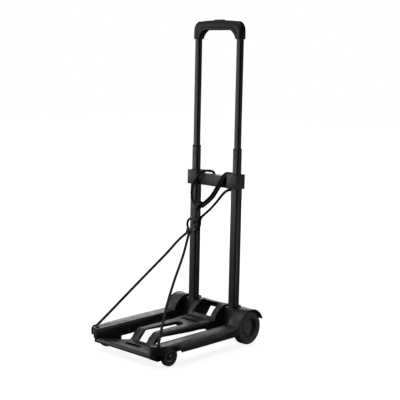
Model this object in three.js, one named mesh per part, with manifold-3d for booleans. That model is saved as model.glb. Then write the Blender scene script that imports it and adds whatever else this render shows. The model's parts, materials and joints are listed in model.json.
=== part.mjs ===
// A folding luggage cart: a hinged platform on four wheels and a three-stage telescopic mast.
// Millimetres, +Z up, +X to the cart's right, the platform runs towards -Y.
// The origin is on the floor, under the middle of the cart's footprint.

import * as THREE from "three";
import { mergeVertices } from "three/addons/utils/BufferGeometryUtils.js";
import Module from "manifold-3d";

const wasm = await Module();
wasm.setup();

// ---- Driving dimensions ------------------------------------------------------------------

const GAP = 0.3; // left between pieces that touch
const AXLE = { y: 164.6, z: 50, radius: 4, half: 139 };
const REAR_WHEEL = { radius: 50, inner: 126, outer: 152.5, seat: 35.4 };
const FRONT_WHEEL = { radius: 27.2, inner: 122.8, outer: 138.3, seat: 19.2, reach: 325.5 };
const TUBE_X = 84; // from the middle plane to each column of tubes

const OUTER = { width: 29, depth: 25.5, corner: 5.5, wall: 1.4, bottom: 74, top: 511 };
const MIDDLE = { width: 23.5, depth: 20.3, corner: 4.8, wall: 1.2, bottom: 410, top: 586 };
const UPPER = { width: 19.3, depth: 16.3, corner: 3.9, wall: 1.1, bottom: 548, top: 945 };

const BRIDGE = { inner: 62.5, outer: 100.5, front: -21.6, back: 18.3, bottom: 470.8, top: 514.6 };
const BAR = { front: -14, back: 12, top: 505.6 };
const FERRULE_TOP = 592;

const GRIP = { half: 96, legInner: 72.5, depth: 25, bottom: 916.5, under: 943, shoulder: 970 };
const GRIP_CROWN = 972.3;
const BUTTON = { half: 18.5, depth: 16, bottom: 961.3, top: 974.6, travel: 4 };
const YOKE = { half: 87, bottom: 956, top: 961, front: -4, back: 8 };
const ROD = { y: 4.6, radius: 1.7, bottom: 560 };

const DECK = 65.5; // height of the load deck
const SKIN = 2.5; // wall of the platform mouldings
const REACH = 383.5; // from the axle to the platform's front edge
const ARM = { inner: 112, outer: 157, wallBottom: 38, keelBottom: 27.4, blockBottom: 14 };
const BLOCK_REACH = 284; // the arm's deep front block starts this far from the axle
const FENDER = { radius: 59, from: 14, to: 157 };
const ARCH = { radius: 57, half: 57, from: 15.8, to: 155, windowHalf: 36, windowFrom: 26, windowTo: 88 };
const TONGUE = { half: 46, slotHalf: 18, rampTop: 272, rampFoot: 312, low: 36, end: 357.6 };
const CROSSBAR = { bottom: 28, top: 40, back: 358 };

const SNAP_Z = 570; // height of the round lock buttons on the middle tubes
const MIDDLE_PIN_Z = 496;
const PIN_RADIUS = 3.8;

const CORD_HOLE = { x: 128, y: -366, radius: 8 }; // in the deck of each arm

// ---- Materials -----------------------------------------------------------------------------

function material(name, color, roughness, metalness) {
  return new THREE.MeshStandardMaterial({ name, color, roughness, metalness });
}

const TUBE_PAINT = material("tube_paint", 0x1b1b1d, 0.35, 0.55);
const DECK_PLASTIC = material("deck_plastic", 0x2a2a2c, 0.6, 0.0);
const FRAME_PLASTIC = material("frame_plastic", 0x202022, 0.55, 0.0);
const GRIP_PLASTIC = material("grip_plastic", 0x242426, 0.5, 0.0);
const BUTTON_PLASTIC = material("button_plastic", 0x38383a, 0.45, 0.0);
const WHEEL_PLASTIC = material("wheel_plastic", 0x262628, 0.5, 0.0);
const TYRE_RUBBER = material("tyre_rubber", 0x171718, 0.8, 0.0);
const STEEL = material("steel", 0x8c8d90, 0.35, 0.9);
const HOOK_PLASTIC = material("hook_plastic", 0x121213, 0.5, 0.0);
const CORD_FABRIC = material("cord_fabric", 0x0d0d0e, 0.85, 0.0);

// ---- Solids --------------------------------------------------------------------------------

// Every solid below is measured from the axle's line: y = 0 and x = 0 on its middle, z from the floor.

function solid(geometry) {
  const bare = geometry.clone();
  bare.deleteAttribute("normal");
  bare.deleteAttribute("uv");
  const merged = mergeVertices(bare, 1e-4);
  const vertProperties = new Float32Array(merged.attributes.position.array);
  const triVerts = new Uint32Array(merged.index.array);
  return new wasm.Manifold(new wasm.Mesh({ numProp: 3, vertProperties, triVerts }));
}

function geometryOf(manifold) {
  const { vertProperties, triVerts } = manifold.getMesh();
  const geometry = new THREE.BufferGeometry();
  geometry.setAttribute("position", new THREE.BufferAttribute(new Float32Array(vertProperties), 3));
  geometry.setIndex(new THREE.BufferAttribute(new Uint32Array(triVerts), 1));
  return geometry;
}

function shapeOf(points) {
  return new THREE.Shape(points.map(([a, b]) => new THREE.Vector2(a, b)));
}

function extruded(shape, depth, curveSegments = 2) {
  return new THREE.ExtrudeGeometry(shape, { depth, bevelEnabled: false, curveSegments });
}

const AXES = {
  x: [new THREE.Vector3(0, 1, 0), new THREE.Vector3(0, 0, 1), new THREE.Vector3(1, 0, 0)],
  y: [new THREE.Vector3(0, 0, 1), new THREE.Vector3(1, 0, 0), new THREE.Vector3(0, 1, 0)],
  z: [new THREE.Vector3(1, 0, 0), new THREE.Vector3(0, 1, 0), new THREE.Vector3(0, 0, 1)],
};

// A prism along an axis. Its outline is drawn in (y, z) along x, (z, x) along y and (x, y) along z.
function prism(axis, points, from, to) {
  const geometry = extruded(shapeOf(points), to - from).translate(0, 0, from);
  return solid(geometry.applyMatrix4(new THREE.Matrix4().makeBasis(...AXES[axis])));
}

function box(x0, x1, y0, y1, z0, z1) {
  const geometry = new THREE.BoxGeometry(x1 - x0, y1 - y0, z1 - z0);
  return solid(geometry.translate((x0 + x1) / 2, (y0 + y1) / 2, (z0 + z1) / 2));
}

function cylinder(axis, radius, from, to, a, b, sides = 12) {
  const circle = [];
  for (let i = 0; i < sides; i += 1) {
    const turn = (2 * Math.PI * i) / sides;
    circle.push([a + radius * Math.cos(turn), b + radius * Math.sin(turn)]);
  }
  return prism(axis, circle, from, to);
}

// A solid of revolution about a line along X, from a closed profile of (radius, x) points.
function turned(profile, y, z, sides) {
  const ring = [...profile, profile[0]].map(([radius, x]) => new THREE.Vector2(radius, x));
  const geometry = new THREE.LatheGeometry(ring, sides).rotateZ(-Math.PI / 2);
  return outward(solid(geometry.translate(0, y, z)));
}

function outward(manifold) {
  if (manifold.volume() > 0) return manifold;
  const geometry = geometryOf(manifold);
  geometry.index.array.reverse();
  return solid(geometry);
}

function mirrored(manifold) {
  const geometry = geometryOf(manifold).scale(-1, 1, 1);
  geometry.index.array.reverse();
  return solid(geometry);
}

function roundedRectangle(width, depth, corner) {
  const x = width / 2;
  const y = depth / 2;
  const shape = new THREE.Shape();
  shape.moveTo(x - corner, -y);
  shape.absarc(x - corner, corner - y, corner, -Math.PI / 2, 0);
  shape.absarc(x - corner, y - corner, corner, 0, Math.PI / 2);
  shape.absarc(corner - x, y - corner, corner, Math.PI / 2, Math.PI);
  shape.absarc(corner - x, corner - y, corner, Math.PI, 1.5 * Math.PI);
  return shape;
}

function column(width, depth, corner, bottom, top) {
  return solid(extruded(roundedRectangle(width, depth, corner), top - bottom).translate(TUBE_X, 0, bottom));
}

// The space that a tube's section takes up, grown by a clearance.
function tubeSpace(tube, clearance, bottom, top) {
  const grown = 2 * clearance;
  return column(tube.width + grown, tube.depth + grown, tube.corner + clearance, bottom, top);
}

function hollowTube(tube) {
  return tubeSpace(tube, 0, tube.bottom, tube.top).subtract(
    tubeSpace(tube, -tube.wall, tube.bottom - 1, tube.top + 1),
  );
}

// Points on a circle about the axle; the angle starts at the front and climbs over the top.
function arc(radius, from, to, steps = 16) {
  const points = [];
  for (let i = 0; i <= steps; i += 1) {
    const turn = THREE.MathUtils.degToRad(from + ((to - from) * i) / steps);
    points.push([-radius * Math.cos(turn), AXLE.z + radius * Math.sin(turn)]);
  }
  return points;
}

function hoop(radius, thickness, from, to, x0, x1) {
  return prism("x", [...arc(radius, from, to), ...arc(radius - thickness, to, from)].reverse(), x0, x1);
}

// ---- Scene graph ---------------------------------------------------------------------------

const cart = new THREE.Group();
cart.position.y = AXLE.y;
const luggageCart = new THREE.Group();
luggageCart.add(cart);

function add(name, manifold, look) {
  const mesh = new THREE.Mesh(geometryOf(manifold), look);
  mesh.name = name;
  cart.add(mesh);
}

// Adds the right-hand piece and its mirror image on the left.
function addPair(name, manifold, look) {
  add(`${name}_right`, manifold, look);
  add(`${name}_left`, mirrored(manifold), look);
}

// ---- Mast: axle, feet, outer tubes, bridge ---------------------------------------------------

function axle() {
  return cylinder("x", AXLE.radius, -AXLE.half, AXLE.half, 0, AXLE.z);
}

const NUT = { radius: 7, from: 134.6, to: 138.6 };

function axleNut() {
  const body = cylinder("x", NUT.radius, NUT.from, NUT.to, 0, AXLE.z, 6);
  return body.subtract(cylinder("x", AXLE.radius + GAP, NUT.from - 1, NUT.to + 1, 0, AXLE.z));
}

const FOOT = { inner: 60, outer: 108, barrel: 20, half: 16.5, floor: 72, top: 104 };

function foot() {
  const shoulders = [
    [44, FOOT.inner], [66, FOOT.inner], [86, FOOT.inner + 6], [FOOT.top, FOOT.inner + 6],
    [FOOT.top, FOOT.outer - 6], [86, FOOT.outer - 6], [66, FOOT.outer], [44, FOOT.outer],
  ];
  const socket = prism("y", shoulders.reverse(), -FOOT.half, FOOT.half);
  const barrel = cylinder("x", FOOT.barrel, FOOT.inner, FOOT.outer, 0, AXLE.z, 24);
  const lug = prism("x", [[15, 84], [29, 97], [29, 106], [24, 107], [15, 101]], TUBE_X - 6, TUBE_X + 6);
  return socket.add(barrel).add(lug)
    .subtract(tubeSpace(OUTER, GAP, FOOT.floor, FOOT.top + 1))
    .subtract(cylinder("x", AXLE.radius + GAP, FOOT.inner - 1, FOOT.outer + 1, 0, AXLE.z));
}

function outerTube() {
  const lockHole = cylinder("y", PIN_RADIUS + GAP, -OUTER.depth, 0, MIDDLE_PIN_Z, TUBE_X);
  return hollowTube(OUTER).subtract(lockHole);
}

// The collar on the outer tube's rim that centres the middle tube.
function outerGuide() {
  const bottom = OUTER.top + GAP;
  const top = BRIDGE.top - 0.5;
  return tubeSpace(OUTER, 0, bottom, top).subtract(tubeSpace(MIDDLE, GAP, bottom - 1, top + 1));
}

function bridge() {
  const collar = box(BRIDGE.inner, BRIDGE.outer, BRIDGE.front, BRIDGE.back, BRIDGE.bottom, BRIDGE.top)
    .subtract(tubeSpace(OUTER, GAP, BRIDGE.bottom - 1, BRIDGE.top + 1))
    .subtract(cylinder("y", SCREW.shank + GAP, 0, BRIDGE.back + 1, SCREW.z, SCREW.x));
  const half = BRIDGE.inner + 1;
  const bar = box(-half, half, BAR.front, BAR.back, BRIDGE.bottom, BAR.top);
  return collar.add(mirrored(collar)).add(bar);
}

const SCREW = { x: TUBE_X, z: 484, shank: 2, head: 4, headLength: 2.2 };

function bridgeScrew() {
  const headFrom = BRIDGE.back + GAP;
  const head = cylinder("y", SCREW.head, headFrom, headFrom + SCREW.headLength, SCREW.z, SCREW.x);
  return head.add(cylinder("y", SCREW.shank, BRIDGE.back - 4, headFrom + 1, SCREW.z, SCREW.x));
}

function buildMast() {
  add("axle", axle(), STEEL);
  addPair("axle_nut", axleNut(), STEEL);
  addPair("foot", foot(), FRAME_PLASTIC);
  addPair("outer_tube", outerTube(), TUBE_PAINT);
  addPair("outer_guide", outerGuide(), FRAME_PLASTIC);
  add("bridge", bridge(), FRAME_PLASTIC);
  addPair("bridge_screw", bridgeScrew(), STEEL);
}

// ---- Middle stage ----------------------------------------------------------------------------

function middleTube() {
  const snapHole = cylinder("y", PIN_RADIUS + GAP, -MIDDLE.depth, 0, SNAP_Z, TUBE_X);
  const pinHole = cylinder("y", PIN_RADIUS + GAP, -MIDDLE.depth, 0, MIDDLE_PIN_Z, TUBE_X);
  return hollowTube(MIDDLE).subtract(snapHole).subtract(pinHole);
}

// The tapered ring on the middle tube's rim.
function middleFerrule() {
  const from = MIDDLE.top + GAP;
  const step = from + 2.6;
  return tubeSpace(MIDDLE, 0, from, step)
    .add(tubeSpace(MIDDLE, -1, step, FERRULE_TOP))
    .subtract(tubeSpace(UPPER, GAP, from - 1, FERRULE_TOP + 1));
}

// A lock pin with a stepped round nose; back and tip are its ends along Y.
function lockPin(z, back, tip) {
  const shoulder = tip + 0.8;
  const stem = cylinder("y", PIN_RADIUS, shoulder, back, z, TUBE_X);
  return stem.add(cylinder("y", PIN_RADIUS - 0.8, tip, shoulder + 0.1, z, TUBE_X));
}

function buildMiddleStage() {
  addPair("middle_tube", middleTube(), TUBE_PAINT);
  addPair("middle_ferrule", middleFerrule(), FRAME_PLASTIC);
  addPair("middle_lock_pin", lockPin(MIDDLE_PIN_Z, -6, -12.4), STEEL);
}

// ---- Upper stage -----------------------------------------------------------------------------

const LOCK_BLOCK = { bottom: 545, top: 596 };
const SNAP = { back: -0.9, tip: -11.4 };

function upperTube() {
  const snapHole = cylinder("y", PIN_RADIUS + GAP, -UPPER.depth, 0, SNAP_Z, TUBE_X);
  return hollowTube(UPPER).subtract(snapHole);
}

// The plug in the upper tube's end that guides the snap button and the push rod.
function lockBlock() {
  const pocket = box(TUBE_X - 3, TUBE_X + 3, -1.5, 3, SNAP_Z - 15, SNAP_Z);
  return tubeSpace(UPPER, -UPPER.wall - GAP, LOCK_BLOCK.bottom, LOCK_BLOCK.top)
    .subtract(cylinder("y", PIN_RADIUS + GAP, -UPPER.depth, 2.6, SNAP_Z, TUBE_X))
    .subtract(cylinder("z", ROD.radius + GAP, SNAP_Z - 16, LOCK_BLOCK.top + 1, TUBE_X, ROD.y))
    .subtract(pocket);
}

// A bent leaf that pushes the snap button out.
function snapSpring() {
  const thick = 0.5;
  const leaf = [
    [-0.5, SNAP_Z - 1], [-0.5, SNAP_Z - 5], [2.2, SNAP_Z - 13], [2.2 - thick, SNAP_Z - 13.6],
    [-0.5 - thick + 0.2, SNAP_Z - 5.2], [-0.3 - thick + 0.2, SNAP_Z - 1],
  ];
  return outward(prism("x", leaf, TUBE_X - 2.2, TUBE_X + 2.2));
}

function pushRod() {
  return cylinder("z", ROD.radius, ROD.bottom, YOKE.bottom - GAP, TUBE_X, ROD.y, 8);
}

// A quarter turn about a centre, in (x, z): an ellipse where flat is 1, and nearly a chamfer near 2.
function bend(cx, cz, rx, rz, from, to, steps = 6, flat = 1) {
  const points = [];
  for (let i = 0; i <= steps; i += 1) {
    const turn = THREE.MathUtils.degToRad(from + ((to - from) * i) / steps);
    const across = Math.max(Math.cos(turn), 0) ** flat;
    const up = Math.max(Math.sin(turn), 0) ** flat;
    points.push([cx + rx * across, cz + rz * up]);
  }
  return points;
}

// Mirrors a run of (x, z) points that ends at the middle, and turns it into an outline along Y.
function symmetricOutline(right) {
  const left = right.map(([x, z]) => [-x, z]).reverse();
  return [...right, ...left].map(([x, z]) => [z, x]);
}

const UNDER_FROM = 50; // where the underside starts to run down to the legs
const UNDER_FLAT = 1.45;

function gripOutline() {
  const cornerX = 24;
  const cornerZ = 26;
  const outer = bend(GRIP.half - cornerX, GRIP.shoulder - cornerZ, cornerX, cornerZ, 0, 90);
  const rise = GRIP.under - GRIP.bottom - 3;
  const under = bend(UNDER_FROM, GRIP.bottom + 3, GRIP.legInner - UNDER_FROM, rise, 90, 0, 6, UNDER_FLAT);
  const leg = [[GRIP.legInner, GRIP.bottom], [GRIP.half, GRIP.bottom]];
  return symmetricOutline([...under, ...leg, ...outer, [26, GRIP_CROWN]]);
}

// The lower shell fills the band along the underside, between the legs.
const LINER = { thickness: 10, half: 70 };

function linerOutline(grow) {
  const reach = LINER.half + grow;
  const top = GRIP.under + LINER.thickness + grow;
  const foot = GRIP.under - 12;
  const shoulder = bend(UNDER_FROM, foot, reach - UNDER_FROM, top - foot, 90, 0, 5, UNDER_FLAT);
  return symmetricOutline([[reach, GRIP.bottom - 10], ...shoulder.reverse()]);
}

function gripBlock() {
  return outward(prism("y", gripOutline(), -GRIP.depth / 2, GRIP.depth / 2));
}

function linerBlock(grow) {
  return outward(prism("y", linerOutline(grow), -GRIP.depth, GRIP.depth));
}

function gripUpperShell() {
  const well = box(-YOKE.half - 1, YOKE.half + 1, YOKE.front - 1, YOKE.back + 1, 951, YOKE.top + GAP);
  const slot = BUTTON.half + GAP;
  const floor = BUTTON.bottom - BUTTON.travel - GAP;
  const opening = box(-slot, slot, -BUTTON.depth / 2 - GAP, BUTTON.depth / 2 + GAP, floor, 990);
  const socket = tubeSpace(UPPER, GAP, GRIP.bottom - 1, UPPER.top + GAP)
    .add(cylinder("z", ROD.radius + 1, UPPER.top, 952, TUBE_X, ROD.y));
  return gripBlock().subtract(linerBlock(GAP)).subtract(well).subtract(opening)
    .subtract(socket).subtract(mirrored(socket));
}

function gripLowerShell() {
  const floor = GRIP.under + 2.5;
  const pocket = box(-60, 60, YOKE.front - 1, YOKE.back + 1, floor, 960);
  return gripBlock().intersect(linerBlock(0)).subtract(pocket);
}

function yoke() {
  return box(-YOKE.half, YOKE.half, YOKE.front, YOKE.back, YOKE.bottom, YOKE.top)
    .subtract(box(-60, -24, YOKE.front - 1, YOKE.back - 4, YOKE.bottom - 1, YOKE.top + 1))
    .subtract(box(24, 60, YOKE.front - 1, YOKE.back - 4, YOKE.bottom - 1, YOKE.top + 1));
}

function releaseButton() {
  const half = BUTTON.depth / 2;
  const lip = 2.5;
  const section = [
    [-half, BUTTON.bottom], [half, BUTTON.bottom], [half, BUTTON.top - lip], [half - lip, BUTTON.top],
    [lip - half, BUTTON.top], [-half, BUTTON.top - lip],
  ];
  return prism("x", section, -BUTTON.half, BUTTON.half);
}

class Helix extends THREE.Curve {
  constructor(radius, bottom, top, turns) {
    super();
    Object.assign(this, { radius, bottom, top, turns });
  }

  getPoint(t, target = new THREE.Vector3()) {
    const turn = 2 * Math.PI * this.turns * t;
    const height = this.bottom + (this.top - this.bottom) * t;
    return target.set(this.radius * Math.cos(turn), this.radius * Math.sin(turn) + 2, height);
  }
}

function polygonShape(radius, sides) {
  const points = [];
  for (let i = 0; i < sides; i += 1) {
    const turn = (2 * Math.PI * i) / sides;
    points.push([radius * Math.cos(turn), radius * Math.sin(turn)]);
  }
  return shapeOf(points);
}

function swept(curve, radius, sides, steps) {
  const options = { steps, extrudePath: curve, bevelEnabled: false };
  return outward(solid(new THREE.ExtrudeGeometry(polygonShape(radius, sides), options)));
}

function buttonSpring() {
  const wire = 0.45;
  const seat = GRIP.under + 2.5 + GAP + wire;
  return swept(new Helix(4, seat, YOKE.bottom - GAP - wire, 4), wire, 4, 28);
}

function buildUpperStage() {
  addPair("upper_tube", upperTube(), TUBE_PAINT);
  addPair("lock_block", lockBlock(), FRAME_PLASTIC);
  addPair("snap_button", lockPin(SNAP_Z, SNAP.back, SNAP.tip), BUTTON_PLASTIC);
  addPair("snap_spring", snapSpring(), STEEL);
  add("grip_upper_shell", gripUpperShell(), GRIP_PLASTIC);
  add("grip_lower_shell", gripLowerShell(), GRIP_PLASTIC);
  add("release_button", releaseButton(), BUTTON_PLASTIC);
  add("release_yoke", yoke(), FRAME_PLASTIC);
  addPair("push_rod", pushRod(), STEEL);
  add("button_spring", buttonSpring(), STEEL);
}

// ---- Platform --------------------------------------------------------------------------------

// The arm's outline seen from above, drawn inside its true edge by inset.
function armOutline(inset) {
  const front = -REACH + inset;
  return [
    [ARM.inner + inset, front], [122, front], [132 - inset / 2, front + 5], [142 - inset, front + 19],
    [149 - inset, front + 44], [153.5 - inset, front + 84], [156 - inset, -212], [ARM.outer - inset, -56],
    [ARM.inner + inset, -56],
  ];
}

// Takes away what lies under the arm's lower edges and over the front wheel.
function armUnderside() {
  const far = 200;
  const clear = FRONT_WHEEL.radius + 4;
  const arch = cylinder("x", clear, ARM.inner + 9, far, -FRONT_WHEEL.reach, FRONT_WHEEL.radius, 32);
  const outside = box(ARM.inner + 9, far, -400, -50, 0, ARM.wallBottom);
  const keel = box(ARM.inner - 1, ARM.inner + 9.1, -BLOCK_REACH, -50, 0, ARM.keelBottom);
  const block = box(ARM.inner - 1, ARM.inner + 9.1, -400, -BLOCK_REACH + 1, 0, ARM.blockBottom);
  return arch.add(outside).add(keel).add(block);
}

function armFrontKnee() {
  const z = ARM.blockBottom;
  const knee = [[-REACH - 1, z - 1], [-REACH + 30, z - 1], [-REACH - 1, 27.7]];
  return outward(prism("x", knee, ARM.inner - 1, ARM.inner + 12));
}

// The arm's inner wall runs back as a plate that turns on the axle.
function armHingePlate() {
  const rim = arc(FENDER.radius - 1, FENDER.to, FENDER.from);
  const lower = [[-120, DECK - SKIN], [-120, ARM.keelBottom], [-20, ARM.keelBottom], [12, 34], [32, 48]];
  return outward(prism("x", [...rim, ...lower], ARM.inner, ARM.inner + SKIN));
}

function arm() {
  const shell = prism("z", armOutline(0), 10, DECK);
  const inside = prism("z", armOutline(SKIN), 5, DECK - SKIN);
  const rearMouth = box(ARM.inner + SKIN, ARM.outer - SKIN, -90, -40, 0, DECK - SKIN);
  const axleBoss = box(ARM.inner + 1, ARM.inner + 8, -345, -306, 16, DECK - 1);
  const fender = hoop(FENDER.radius, SKIN + 0.5, FENDER.from, FENDER.to, ARM.inner, ARM.outer);
  const cordHole = cylinder("z", CORD_HOLE.radius, DECK - 10, DECK + 1, CORD_HOLE.x, CORD_HOLE.y);
  const screwHole = cylinder("x", SCREW.shank + GAP, ARM.inner - 1, ARM.inner + 5, -374, 33);
  return shell.subtract(inside).subtract(rearMouth).add(axleBoss)
    .subtract(armUnderside()).subtract(armFrontKnee())
    .add(fender).add(armHingePlate())
    .subtract(cordHole).subtract(screwHole)
    .subtract(cylinder("x", AXLE.radius + GAP, 100, 120, 0, AXLE.z))
    .subtract(cylinder("x", FRONT_PIN.radius + GAP, 100, 130, -FRONT_WHEEL.reach, FRONT_WHEEL.radius));
}

const FRONT_PIN = { radius: 3, head: 6.5 };

function frontPin() {
  const at = [-FRONT_WHEEL.reach, FRONT_WHEEL.radius];
  const head = cylinder("x", FRONT_PIN.head, 134.2, 136.4, ...at);
  return head.add(cylinder("x", FRONT_PIN.radius, ARM.inner + 0.5, 134.5, ...at));
}

function slot(halfLength, y, halfWidth, bottom, top) {
  const straight = halfLength - halfWidth;
  return box(-straight, straight, y - halfWidth, y + halfWidth, bottom, top)
    .add(cylinder("z", halfWidth, bottom, top, straight, y, 16))
    .add(cylinder("z", halfWidth, bottom, top, -straight, y, 16));
}

function tongueOutline(inset) {
  const half = TONGUE.half - inset;
  const right = [
    [ARCH.half - inset, -48 - inset], [ARCH.half - inset, -84], [half + 4, -98], [half, -114],
    [half, -TONGUE.rampFoot], [66 - inset, -330], [92 - inset, -TONGUE.end + inset],
  ];
  return [...right, ...right.map(([x, y]) => [-x, y]).reverse()].reverse();
}

// The tongue's surface from the side, with its lower side a given depth beneath the deck.
function tongueProfile(deck, ramp) {
  const { rampTop, rampFoot, low, end } = TONGUE;
  const top = [
    [-45, DECK], [-rampTop, DECK], [-rampTop - 10, DECK - 2.5], [-rampFoot + 4, low + 2],
    [-rampFoot - 4, low], [-end, low],
  ];
  const bottom = [
    [-end, low - 4], [-rampFoot - 2, low - 4], [-rampFoot + 10, low - 4 + (ramp - 3) / 4],
    [-rampTop - 4 + ramp / 2, DECK - ramp], [-140, DECK - deck], [-45, DECK - deck],
  ];
  return [...top, ...bottom];
}

function archEar() {
  const rim = arc(ARCH.radius - 1, ARCH.to, ARCH.from);
  const lower = [[-70, DECK - SKIN], [-96, DECK - SKIN], [-96, 46], [-84, 40], [16, 40], [30, 47]];
  return outward(prism("x", [...rim, ...lower], ARCH.half - SKIN, ARCH.half));
}

function tongue() {
  const wide = 120;
  const plate = outward(prism("x", tongueProfile(4, 4), -wide, wide));
  const deep = outward(prism("x", tongueProfile(20, 12), -wide, wide));
  const outline = prism("z", tongueOutline(0), 10, 90);
  const walls = outline.subtract(prism("z", tongueOutline(SKIN), 5, 95));
  const ends = box(-wide, wide, -82, 0, 0, 100).add(box(-wide, wide, -400, -TONGUE.rampFoot, 0, 100));
  const prongs = box(-TONGUE.slotHalf, TONGUE.slotHalf, -307, -160, 0, 100)
    .add(cylinder("z", TONGUE.slotHalf, 0, 100, 0, -160, 24));
  const hood = hoop(ARCH.radius, SKIN + 0.5, ARCH.from - 2, ARCH.to, -ARCH.half, ARCH.half);
  const windowOutline = [
    ...arc(ARCH.radius + 6, ARCH.windowTo, ARCH.windowFrom, 8),
    ...arc(ARCH.radius - 8, ARCH.windowFrom, ARCH.windowTo, 8),
  ];
  const window = outward(prism("x", windowOutline, -ARCH.windowHalf, ARCH.windowHalf));
  const ear = archEar();
  return plate.intersect(outline).add(deep.intersect(walls).subtract(ends))
    .subtract(prongs)
    .subtract(slot(35, -104, 6, 30, 90)).subtract(slot(30, -342, 7, 10, 60))
    .add(hood.subtract(window)).add(ear).add(mirrored(ear))
    .subtract(cylinder("x", AXLE.radius + GAP, -wide, wide, 0, AXLE.z));
}

function crossbar() {
  const front = -REACH;
  const section = [
    [front, CROSSBAR.bottom], [front, 36], [front + 3, 39.4], [front + 9, CROSSBAR.top],
    [front + 13, 37.4], [-CROSSBAR.back, TONGUE.low + 0.4], [-CROSSBAR.back, TONGUE.low - 4],
    [front + 12, 32], [front + 5, CROSSBAR.bottom],
  ];
  const half = ARM.inner - GAP;
  const bar = outward(prism("x", section, -half, half));
  const boss = box(half - 12, half, -379, -369, 28.5, 36);
  const bore = cylinder("x", SCREW.shank + GAP, half - 10, half + 1, -374, 33);
  return bar.add(boss).add(mirrored(boss)).subtract(bore).subtract(mirrored(bore));
}

function crossbarScrew() {
  const wallFace = ARM.inner + SKIN + GAP;
  const head = cylinder("x", SCREW.head - 0.8, wallFace, wallFace + 2, -374, 33);
  return head.add(cylinder("x", SCREW.shank, 104, wallFace + 1, -374, 33));
}

function buildPlatform() {
  addPair("arm", arm(), DECK_PLASTIC);
  addPair("front_axle_pin", frontPin(), STEEL);
  add("tongue", tongue(), DECK_PLASTIC);
  add("crossbar", crossbar(), DECK_PLASTIC);
  addPair("crossbar_screw", crossbarScrew(), STEEL);
}

// ---- Wheels ----------------------------------------------------------------------------------

function tyre(wheel, edge) {
  const { radius, inner, outer, seat } = wheel;
  const profile = [
    [seat, inner + edge], [seat + 1, inner + 0.5], [radius - 2.5 * edge, inner],
    [radius - edge, inner + 0.6 * edge], [radius, inner + 2.2 * edge], [radius, outer - 2.2 * edge],
    [radius - edge, outer - 0.6 * edge], [radius - 2.5 * edge, outer], [seat + 1, outer - 0.5],
    [seat, outer - edge],
  ];
  return profile;
}

const HUB = { cap: 19.2, floor: 137.5, web: 133.5, face: 143.5, nutPocket: 9, boss: 10 };

function rearRim() {
  const lip = REAR_WHEEL.seat - GAP;
  const dish = lip - 4;
  const { inner, outer } = REAR_WHEEL;
  const bore = AXLE.radius + GAP;
  return [
    [bore, ARM.inner + SKIN + 1], [HUB.boss, ARM.inner + SKIN + 1], [HUB.boss, HUB.web], [dish, HUB.web],
    [dish, inner + 1], [lip, inner + 1], [lip, outer - 1], [dish + 1, outer - 1], [dish - 1, HUB.floor],
    [HUB.nutPocket, HUB.floor], [HUB.nutPocket, HUB.web + 0.8], [bore, HUB.web + 0.8],
  ];
}

function rearHubCap() {
  const seat = HUB.floor + GAP;
  return [
    [0, 139.4], [HUB.nutPocket - GAP, 139.4], [HUB.nutPocket - GAP, seat], [HUB.cap, seat],
    [HUB.cap, HUB.face - 1.5], [HUB.cap - 1.5, HUB.face], [0, HUB.face],
  ];
}

function frontRim() {
  const { inner, outer, seat } = FRONT_WHEEL;
  const lip = seat - GAP;
  const bore = FRONT_PIN.radius + GAP;
  return [
    [bore, inner - 0.5], [7, inner - 0.5], [7, inner + 3], [lip - 3, inner + 3], [lip - 3, inner + 0.8],
    [lip, inner + 0.8], [lip, outer - 0.8], [lip - 2.5, outer - 0.8], [lip - 3.5, outer - 5],
    [9, outer - 5], [9, outer - 1.6], [7.4, outer - 1], [7.4, 133.8], [bore, 133.8],
  ];
}

function buildWheels() {
  const rear = (profile) => turned(profile, 0, AXLE.z, 24);
  const front = (profile) => turned(profile, -FRONT_WHEEL.reach, FRONT_WHEEL.radius, 16);
  addPair("rear_tyre", rear(tyre(REAR_WHEEL, 2)), TYRE_RUBBER);
  addPair("rear_rim", rear(rearRim()), WHEEL_PLASTIC);
  addPair("rear_hub_cap", rear(rearHubCap()), WHEEL_PLASTIC);
  addPair("front_tyre", front(tyre(FRONT_WHEEL, 1.4)), TYRE_RUBBER);
  addPair("front_rim", front(frontRim()), WHEEL_PLASTIC);
}

// ---- Elastic cord ----------------------------------------------------------------------------

const CORD_RADIUS = 4;
const CORD_SIDES = 8;

function route(points) {
  const path = points.map(([x, y, z]) => new THREE.Vector3(x, y, z));
  return new THREE.CatmullRomCurve3(path, false, "centripetal");
}

function cordTube(points, steps) {
  return swept(route(points), CORD_RADIUS, CORD_SIDES, steps);
}

function rod(from, to, radius, sides) {
  return swept(new THREE.LineCurve3(new THREE.Vector3(...from), new THREE.Vector3(...to)), radius, sides, 1);
}

// From the hook on the left arm's corner, and from the hole in the right arm, up to the crimp.
const STRAND_LEFT = [
  [-132, -364, 71.8], [-128.5, -335, 92.5], [-118.5, -262, 147.5], [-107.5, -189, 203],
  [-96, -117, 258], [-86.5, -66, 301], [-75.5, -47.5, 319],
];
const STRAND_RIGHT = [
  [129.4, -368, 54], [128, -366.2, 63], [124.2, -361, 71], [106.5, -336, 91], [57, -264, 147],
  [15, -192, 203], [-27.5, -112, 262], [-67.5, -45.5, 318.5],
];

// From the clip over the bar's left half, down behind it, and back over its right half to the clip.
const LOOP_LEFT = [
  [-44, -33, 410], [-56, -33, 414], [-66, -32.5, 423], [-71, -32, 437], [-71.5, -31.5, 453],
  [-67, -30.5, 471], [-56, -28, 491], [-46, -22, 506], [-39, -9, 514], [-32, 4, 514],
  [-26, 15, 510.5], [-22, 19.5, 499], [-14, 20.5, 488], [6, 21, 483], [28, 20.5, 487], [40, 20, 499],
  [45.5, 15, 510.5], [47.5, 3, 514], [47.5, -9, 514], [46, -19, 508], [41, -22, 497.2],
  [33.9, -22, 487], [26.6, -22.5, 476], [17.3, -23.5, 461.1], [3.1, -26, 441], [-14.1, -30, 424.2], [-30, -33, 412],
];

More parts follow.
